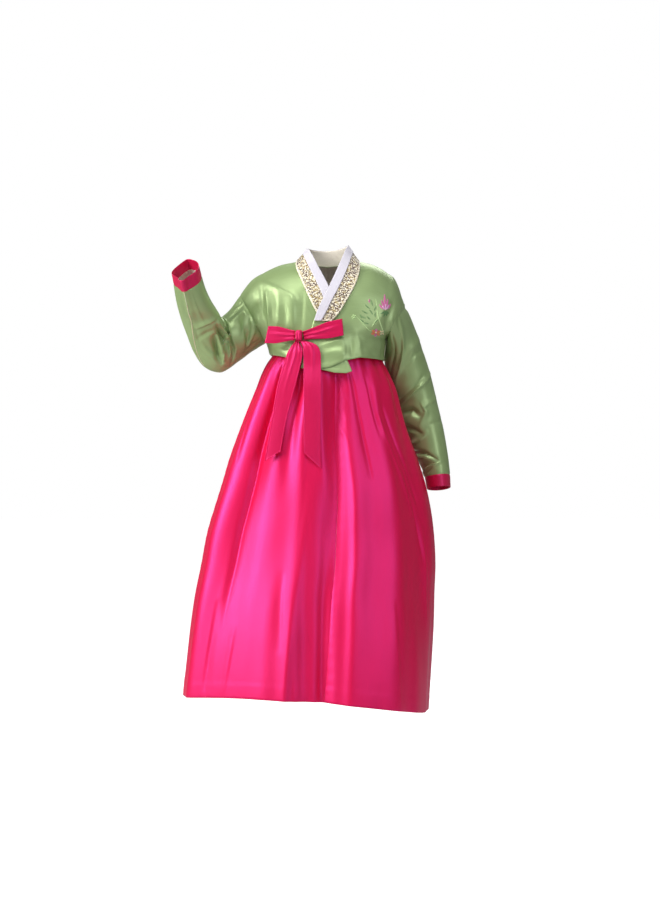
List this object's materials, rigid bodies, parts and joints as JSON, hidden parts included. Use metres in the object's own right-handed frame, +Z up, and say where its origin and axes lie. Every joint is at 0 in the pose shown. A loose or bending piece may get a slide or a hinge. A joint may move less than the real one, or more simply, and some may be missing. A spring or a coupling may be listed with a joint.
{
  "type": "child's hanbok, jacket and skirt, worn form",
  "caption": "Short green jacket with crossed collar, ribbon bow and one raised sleeve over a long full pink skirt, in the hollow form it has when worn.",
  "frame": {"origin": "middle of the neck opening at shoulder level, where the wearer holds the garment up", "axes": "+X to the wearer's left, -Y to the front, +Z up; the skirt's length runs along Z"},
  "size_m": [0.5772, 0.4288, 0.9747],
  "materials": {
    "jacket": "lustrous pale green taffeta",
    "skirt": "glossy deep pink satin",
    "cuff": "rose satin",
    "collar": "cream brocade with brown and gold scrolls",
    "strip": "stiff white cloth",
    "ribbon": "glossy deep pink satin ribbon",
    "band": "plain off-white cotton"
  },
  "bodies": {
    "root": {"jacket_back": "jacket", "jacket_front_inner": "jacket", "jacket_front_outer": "jacket", "sleeve_raised": "jacket", "sleeve_hanging": "jacket", "cuff_raised": "cuff", "cuff_hanging": "cuff", "collar": "collar", "collar_strip": "strip", "bow_knot": "ribbon", "bow_loop_left": "ribbon", "bow_loop_right": "ribbon", "tie_tail_left": "ribbon", "tie_tail_right": "ribbon", "skirt_front_right": "skirt", "skirt_front_left": "skirt", "skirt_back_left": "skirt", "skirt_back_right": "skirt", "skirt_band": "band", "skirt_strap_right": "band", "skirt_strap_left": "band"}
  },
  "joints": []
}
